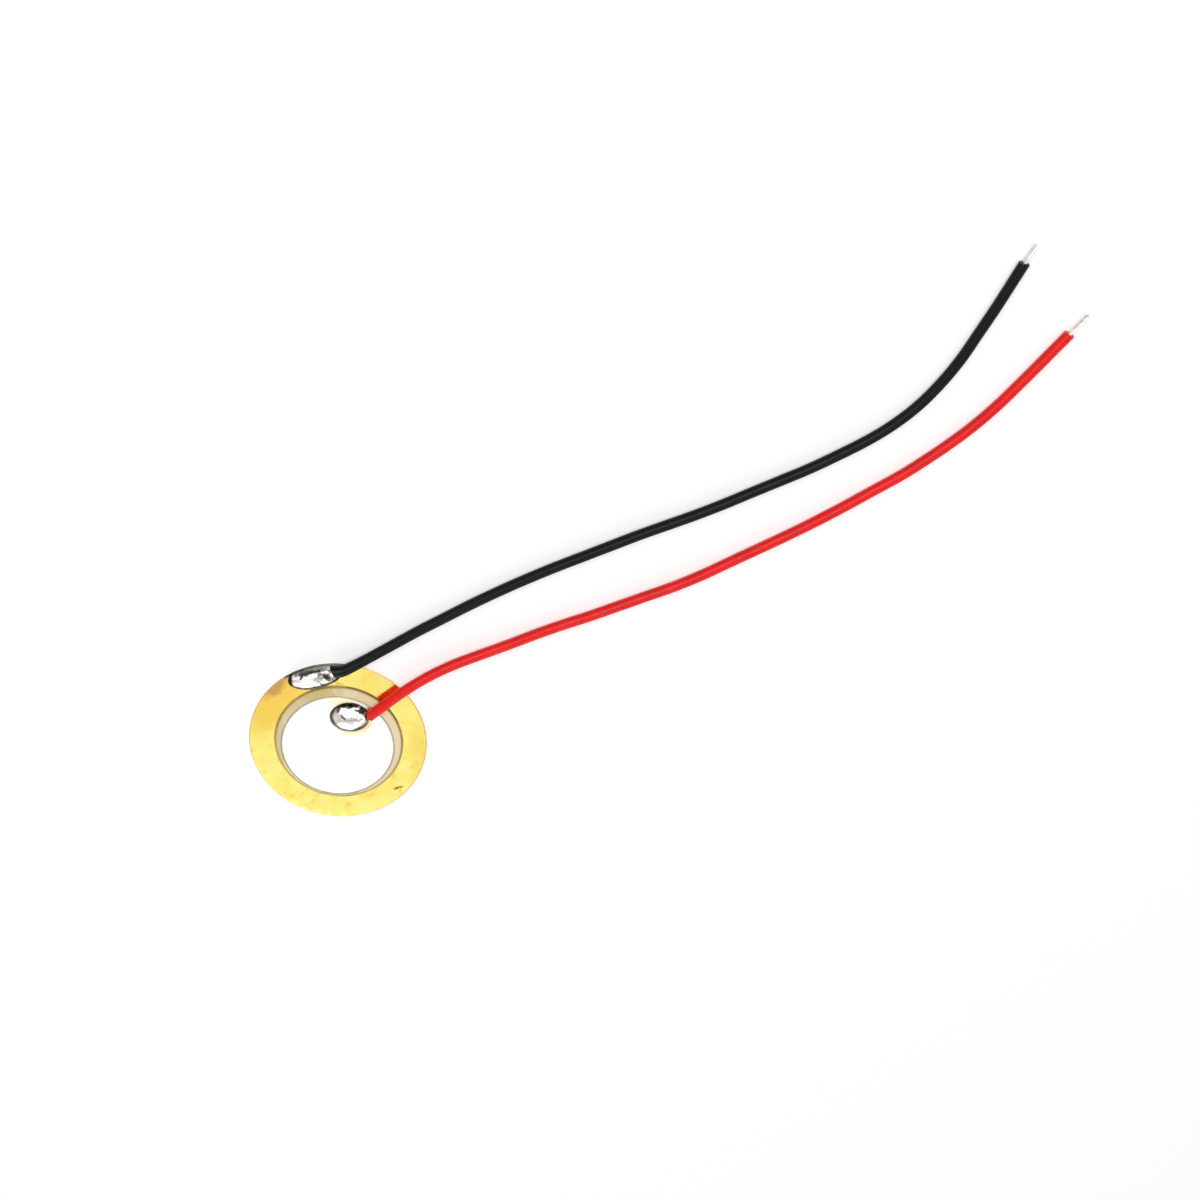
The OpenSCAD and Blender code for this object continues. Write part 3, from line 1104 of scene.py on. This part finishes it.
    def rear_electrode(self) -> None:
        """Gives the hidden rear electrode its silver, on the CAD node itself."""
        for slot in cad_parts["rear_electrode"].material_slots:
            slot.material = REAR_SILVER.material()

    def build(self) -> None:
        """Builds the disc from the plate upwards."""
        self.plate()
        self.bead()
        self.rear_electrode()
        self.ceramic()
        self.front_electrode()


# --- Leads ---


def follow(points: list[Vector], share: float) -> Vector:
    """Finds a point of a smooth curve through points.

    Args:
        points: the points.
        share: an index, plus a share of the way to the next point.

    Returns:
        The point.
    """
    i = min(int(share), len(points) - 2)
    u = share - i
    before = points[i - 1] if i else points[0] * 2 - points[1]
    after = points[i + 2] if i + 2 < len(points) else points[-1] * 2 - points[-2]
    return 0.5 * (2 * points[i] + (points[i + 1] - before) * u
                  + (2 * before - 5 * points[i] + 4 * points[i + 1] - after) * u * u
                  + (3 * points[i] - before - 3 * points[i + 1] + after) * u ** 3)


@dataclass(frozen=True)
class Lead:
    """One insulated, stranded lead with a soldered tail and a bare tip, in millimetres."""

    name: str
    finish: Finish
    slot: Slot
    route: tuple[Point, ...]
    seat: float
    tail_end: Point
    tip_length: float
    swell: float = 0.0
    cut_slant: Pair = (0.05, 0.10)
    radius: float = 0.6
    collar_points: int = 3
    sides: int = 28
    per_span: int = 6
    skin_waver: Waver = Waver(0.012, 0.35, 7.0)
    skin_inset: float = 0.006
    cut_waver: Waver = Waver(0.02, 3.0, 31.0)
    lip: float = 0.93
    bore_fit: float = 3.15
    bore_depth: float = 0.6
    strand_r: float = 0.08
    strand_sides: int = 12
    lay_length: float = 5.0
    tail_inside: Pair = (0.4, 0.1)
    tip_fray: float = 0.03
    tip_step: float = 0.03
    steps: int = 24

    def radius_at(self, share: float) -> float:
        """Radius of the insulation at an index along the route."""
        return self.radius * (1 + self.swell * max(0.0, 1 - share / self.collar_points))

    def line(self) -> list[Station]:
        """Lays out the smooth line that the insulation follows.

        Returns:
            Its stations, none of them nearer the table than the insulation's radius.
        """
        knots = [Vector((x, y, self.radius_at(i) + lift * self.seat))
                 for i, (x, y, lift) in enumerate(self.route)]
        shares = [k / self.per_span for k in range((len(knots) - 1) * self.per_span + 1)]
        points, radii = [], [self.radius_at(share) for share in shares]
        for share, radius in zip(shares, radii):
            at = follow(knots, share)
            at.z = max(at.z, radius)
            points.append(at)
        return stations(points, radii)

    def skin(self, station: Station, angle: float) -> float:
        """Distance of the slightly uneven skin from the centre."""
        spot = Vector((station.run, math.cos(angle), math.sin(angle)))
        return station.radius * (1 + self.skin_waver.at(spot)) - self.skin_inset

    def build(self) -> None:
        """Draws the insulation, its ends cut across, and the strands that come out of it."""
        line = self.line()
        shape = bmesh.new()
        tube(shape, line, self.sides, self.skin)
        self.cut(shape, line[0], 1, self.cut_slant[0])
        self.cut(shape, line[-1], -1, self.cut_slant[1])
        piece = complete(f"{self.name}_insulation", shape, self.finish,
                         self.name, sharp=35.0)
        tip = self.strands("tip", self.tip_points(line), self.tip_fray)
        tail = self.strands("tail", self.tail_points(line), 0.0)

    def cut(self, shape: BMesh, station: Station, inward: int, slant: float) -> None:
        """Cuts an end of the insulation out of square and opens its bore.

        Args:
            shape: the insulation.
            station: the end.
            inward: 1 where the insulation lies ahead of the end, -1 where behind.
            slant: how much further in the cut lies at one side than on the axis.
        """
        nearby, setback = 4.0, 0.01
        verts = [v for v in shape.verts if (v.co - station.at).length < nearby]
        edges = {e for v in verts for e in v.link_edges}
        faces = {f for v in verts for f in v.link_faces}
        made = bmesh.ops.bisect_plane(
            shape, geom=[*verts, *edges, *faces], clear_inner=True,
            plane_co=station.at + station.along * inward * (abs(slant) + setback),
            plane_no=station.along * inward - station.side * slant / station.radius)
        ring = [v for v in made["geom_cut"] if isinstance(v, BMVert)]
        for vertex in ring:
            vertex.co += station.along * self.cut_waver.at(vertex.co)
        bore = self.bore_fit * self.strand_r / station.radius
        # The melted lip, the mouth of the bore, its wall and its floor.
        for scale, depth in ((self.lip, -0.02), (bore + 0.08, 0.0), (bore, 0.05),
                             (bore, self.bore_depth)):
            ring = grow(shape, ring)
            for vertex in ring:
                height = (vertex.co - station.at).dot(station.along)
                spoke = vertex.co - station.at - station.along * height
                vertex.co = (station.at + spoke.normalized() * station.radius * scale
                             + station.along * (height + inward * depth))
        close(shape, ring)

    def tip_points(self, line: list[Station]) -> list[Vector]:
        """Gives the straight line of the bare tip, from inside the insulation."""
        finish, along, inside = line[-1].at, line[-1].along, 4
        return [finish + along * (self.tip_length * k / self.steps)
                for k in range(-inside, self.steps + 1)]

    def tail_points(self, line: list[Station]) -> list[Vector]:
        """Bends the bare tail down into its solder joint.

        Args:
            line: the insulation's stations.

        Returns:
            The tail's line, from inside the insulation to the tail's end.
        """
        start, back = line[0].at, -line[0].along
        target, straight, lead_in = Vector(self.tail_end), 0.35, 0.35
        curve = start + back * straight
        middle = curve + back * (target - curve).length * lead_in
        bend = [(1 - u) ** 2 * curve + 2 * u * (1 - u) * middle + u * u * target
                for u in (k / self.steps for k in range(self.steps + 1))]
        return [*(start - back * depth for depth in self.tail_inside), *bend]

    def strands(self, end: str, points: list[Vector], fray: float) -> Object:
        """Twists seven tinned strands along a line, six of them round the seventh.

        Args:
            end: which end of the lead they are, tip or tail.
            points: the line.
            fray: how far the strands stray from each other at the far end.

        Returns:
            The strands, as one piece.
        """
        core = stations(points, [self.strand_r] * len(points))
        shape, outer = bmesh.new(), 6
        for number in range(outer + 1):
            path = []
            for station in core:
                turn = math.tau * (number / outer + station.run / self.lay_length)
                apart = 0.0 if number == outer else 2 * self.strand_r
                drift = wander(Vector((number, station.run / 2, 2)), 1.0, 9.0)
                stray = fray * (station.run / core[-1].run) ** 2 * drift
                path.append(station.at + station.around(turn) * (apart + stray))
            kept = 1 - self.tip_step * (number % 3) if fray else 1.0
            path = path[:round(len(path) * kept)]
            for ring in tube(shape, stations(path, [self.strand_r] * len(path)),
                             self.strand_sides, lambda station, angle: station.radius):
                close(shape, ring)
        return complete(f"{self.name}_{end}_strands", shape, TINNED_COPPER,
                        f"{self.name}_{end}", sharp=50.0)


# --- Solder joints ---


@dataclass(frozen=True)
class Swell:
    """A place where the solder has climbed, such as up a lead's end, in millimetres."""

    x: float
    y: float
    radius: float
    height: float


@dataclass(frozen=True)
class SolderJoint:
    """A blob of solder over the soldered tail of one lead, in millimetres and degrees."""

    name: str
    finish: Finish
    at: Pair
    seat: float
    size: Point
    turn: float
    foot: float
    lead_bearing: float
    climb: float
    rim: float
    tail: list[Vector]
    seed: float
    swells: tuple[Swell, ...]
    cells: float = 1.2
    crease: float = 0.5
    sink: float = 0.7
    relief: float = 0.03
    ripple: float = 0.02
    ripple_fineness: float = 2.6
    cover: float = 0.31
    still: float = 0.02
    full_play: float = 0.25
    mesh_size: tuple[int, int] = (144, 80)

    def footprint(self, angle: float) -> Vector:
        """Works out the foot's outline, which is held inside the plate's rim.

        Args:
            angle: where on the foot's oval, from its long axis.

        Returns:
            The place on the outline, from the joint's centre.
        """
        length, width, _ = self.size
        turn = math.radians(self.turn)
        x, y = length / 2 * math.cos(angle), width / 2 * math.sin(angle)
        place = Vector(self.at) + Vector((x * math.cos(turn) - y * math.sin(turn),
                                          x * math.sin(turn) + y * math.cos(turn)))
        return place * min(1.0, self.rim / place.length) - Vector(self.at)

    def dome(self) -> BMesh:
        """Shapes the smooth dome on its footprint, from a ball cut off at its foot.

        Returns:
            The dome's mesh.
        """
        foot, bearing = math.radians(self.foot), math.radians(self.lead_bearing)
        rise = self.size[2] / (1 - math.sin(foot))
        widest = math.cos(foot) if foot > 0 else 1.0
        shape = bmesh.new()
        around, upwards = self.mesh_size
        bmesh.ops.create_uvsphere(shape, u_segments=around, v_segments=upwards, radius=1.0)
        bmesh.ops.bisect_plane(shape, geom=[*shape.verts, *shape.edges, *shape.faces],
                               plane_co=(0, 0, math.sin(foot)), plane_no=UP,
                               clear_inner=True)
        bmesh.ops.contextual_create(shape, geom=[e for e in shape.edges if e.is_boundary])
        for vertex in shape.verts:
            x, y, z = vertex.co
            angle = math.atan2(y, x)
            towards = max(0.0, math.cos(angle - bearing))
            reach = (math.hypot(x, y) / widest) ** (1 - self.climb * towards ** 4)
            out = self.footprint(angle) * reach
            vertex.co = (self.at[0] + out.x, self.at[1] + out.y,
                         self.seat + rise * (z - math.sin(foot)))
        return shape

    def build(self) -> None:
        """Lets the solder set, with facets and a ridge over the conductor."""
        shape = self.dome()
        bmesh.ops.recalc_face_normals(shape, faces=shape.faces)
        shape.normal_update()
        moves = [(v, self.facets(v.co) * v.normal) for v in shape.verts
                 if v.co.z > self.seat + self.still]
        for vertex, move in moves:
            share = min(1.0, (vertex.co.z - self.seat) / self.full_play)
            vertex.co += move * share
            vertex.co.z += self.swell_at(vertex.co) * share
            vertex.co.z = max(vertex.co.z, self.over_tail(vertex.co), self.seat)
        complete(f"{self.name}_dressed", shape, self.finish, self.name,
                 sharp=60.0)

    def facets(self, at: Vector) -> float:
        """Works out the facets of the set surface, cells with soft creases between them.

        Args:
            at: the place on the smooth dome.

        Returns:
            The surface's height over the dome.
        """
        near, next_near = noise.voronoi(at * self.cells
                                        + Vector((self.seed, 0, self.seed)))[0][:2]
        share = min(next_near - near, self.crease) / self.crease
        return (self.relief * (share - self.sink)
                + self.ripple * wander(at, self.ripple_fineness, self.seed))

    def swell_at(self, at: Vector) -> float:
        """Height that the solder has climbed at a place."""
        return sum(s.height * math.exp(-((at.x - s.x) ** 2 + (at.y - s.y) ** 2)
                                       / s.radius ** 2) for s in self.swells)

    def over_tail(self, at: Vector) -> float:
        """Height that the solder keeps over the conductor, or -1 away from it."""
        gaps = ((math.hypot(at.x - spot.x, at.y - spot.y), spot.z) for spot in self.tail)
        return max((height + math.sqrt(self.cover ** 2 - gap ** 2)
                    for gap, height in gaps if gap < self.cover), default=-1.0)


# --- The part ---

# Points of x, y and how much of the seat's height the lead keeps there.
BLACK_ROUTE = (
    (-0.6, 9.4, 1), (0.6, 9.5, 1.1), (1.8, 10.1, 1.2), (3.6, 11.2, 1.1), (6, 12.7, 0.7),
    (9, 14.6, 0.3), (12, 16.4, 0.1), (15, 18.2, 0), (18, 19.9, 0), (21, 21.5, 0), (24, 23, 0),
    (27, 24.4, 0), (30, 25.8, 0), (33, 27.2, 0), (36, 28.5, 0), (39, 29.8, 0), (42, 31.2, 0),
    (45, 32.7, 0), (48, 34.2, 0), (51, 35.7, 0), (54, 37.4, 0), (57.05, 39.25, 0),
    (59.65, 41.15, 0), (62.1, 43.4, 0), (64.3, 46.05, 0), (66.25, 48.95, 0), (67.9, 52, 0),
    (69.5, 55, 0), (71, 58, 0), (72, 60, 0))
RED_ROUTE = (
    (3.6, 3.8, 1), (5.5, 5.5, 1.15), (7.6, 7.3, 1.2), (10.2, 9.1, 0.9), (13, 10.6, 0.5),
    (16, 11.9, 0.15), (19, 13.2, 0), (22, 14.6, 0), (25, 15.9, 0), (28, 17.1, 0), (31, 18.4, 0),
    (34, 19.7, 0), (37, 21, 0), (40, 22.5, 0), (43, 24.2, 0), (46, 25.9, 0), (49, 27.6, 0),
    (52, 29.4, 0), (55, 31.3, 0), (58, 33.3, 0), (61, 35.3, 0), (63.55, 37.25, 0),
    (65.85, 39.15, 0), (68.15, 41.25, 0), (70.35, 43.55, 0), (72.5, 46.1, 0), (75, 49.2, 0),
    (77.4, 52.2, 0))

# How far the joints' feet keep inside the rolled rim, where the plate joint's centre stands,
# by its bearing and its distance inside that limit, and where the electrode joint's stands.
RIM_MARGIN = 0.06
PLATE_JOINT_BEARING = math.radians(104.5)
PLATE_JOINT_INSET = 0.93
ELECTRODE_JOINT_AT = (1.4, 3.3)


def main() -> None:
    """Builds the studio, the disc, the leads and their joints."""
    logging.basicConfig(level=logging.INFO, format="%(name)s: %(message)s")
    Studio().build()
    disc = Disc()
    low, high = disc.plate_t, disc.stack_top()
    rim = disc.plate_r - disc.edge_roll - RIM_MARGIN
    reach = rim - PLATE_JOINT_INSET
    plate_at = (reach * math.cos(PLATE_JOINT_BEARING), reach * math.sin(PLATE_JOINT_BEARING))
    film_at = ELECTRODE_JOINT_AT
    black = Lead("black_lead", BLACK_PVC, Slot.BLACK_PVC, BLACK_ROUTE, seat=low + 0.05,
                 tail_end=(plate_at[0] - 1.6, plate_at[1] - 0.3, low + 0.55),
                 tip_length=2.2, swell=0.2, cut_slant=(-0.3, 0.1))
    red = Lead("red_lead", RED_PVC, Slot.RED_PVC, RED_ROUTE, seat=high + 0.03,
               tail_end=(film_at[0] - 0.7, film_at[1] - 0.1, high + 0.45), tip_length=2.7)
    for piece in (black, red, disc):
        piece.build()
    black_tail, red_tail = (lead.tail_points(lead.line())[2:] for lead in (black, red))
    SolderJoint("plate_solder_joint", PLATE_SOLDER, at=plate_at, seat=low,
                size=(6.6, 3.2, 1.2), turn=19.0, foot=-22.0, lead_bearing=5.0, climb=0.25,
                rim=rim, tail=black_tail, seed=4.0,
                swells=(Swell(-0.35, 8.75, 0.68, 0.36), Swell(-3.3, 8.5, 0.7, 0.06))).build()
    SolderJoint("electrode_solder_joint", ELECTRODE_SOLDER, at=film_at, seat=high,
                size=(4.5, 3.8, 1.1), turn=2.0, foot=12.0, lead_bearing=10.0, climb=0.45,
                rim=rim, tail=red_tail, seed=9.0,
                swells=(Swell(3.42, 3.72, 0.58, 0.46),)).build()


if __name__ == "__main__":
    main()
